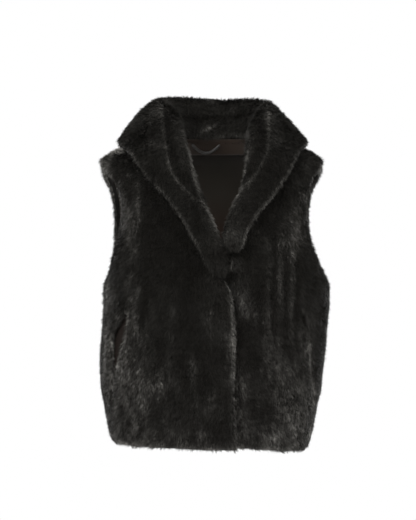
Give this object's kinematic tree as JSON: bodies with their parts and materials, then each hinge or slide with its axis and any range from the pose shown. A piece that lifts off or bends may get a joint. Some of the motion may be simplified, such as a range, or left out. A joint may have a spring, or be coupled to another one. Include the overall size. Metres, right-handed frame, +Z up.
{
  "type": "fur gilet",
  "caption": "Sleeveless faux-fur gilet in its worn form: hollow, with a wide shawl collar, lapped fronts, slanted side pockets, a satin lining and a hanger loop in the neck.",
  "frame": {"origin": "on the centre line, level with the middle of the shoulder seams, where the wearer's shoulders carry the gilet", "axes": "+Z up, the front faces -Y, +X to the wearer's left"},
  "size_m": [0.4167, 0.2895, 0.6375],
  "materials": {
    "black_fur": "short dense black faux-fur pile with soft dark grey lights",
    "satin_lining": "dark brown-black satin",
    "satin_facing": "brown satin"
  },
  "bodies": {
    "root": {"back": "black_fur", "front_right": "black_fur", "front_left": "black_fur", "collar_right": "black_fur", "collar_left": "black_fur", "lining_back": "satin_lining", "neck_facing": "satin_facing", "hanger_loop": "satin_lining", "pocket_right": "satin_lining", "pocket_left": "satin_lining"}
  },
  "joints": []
}
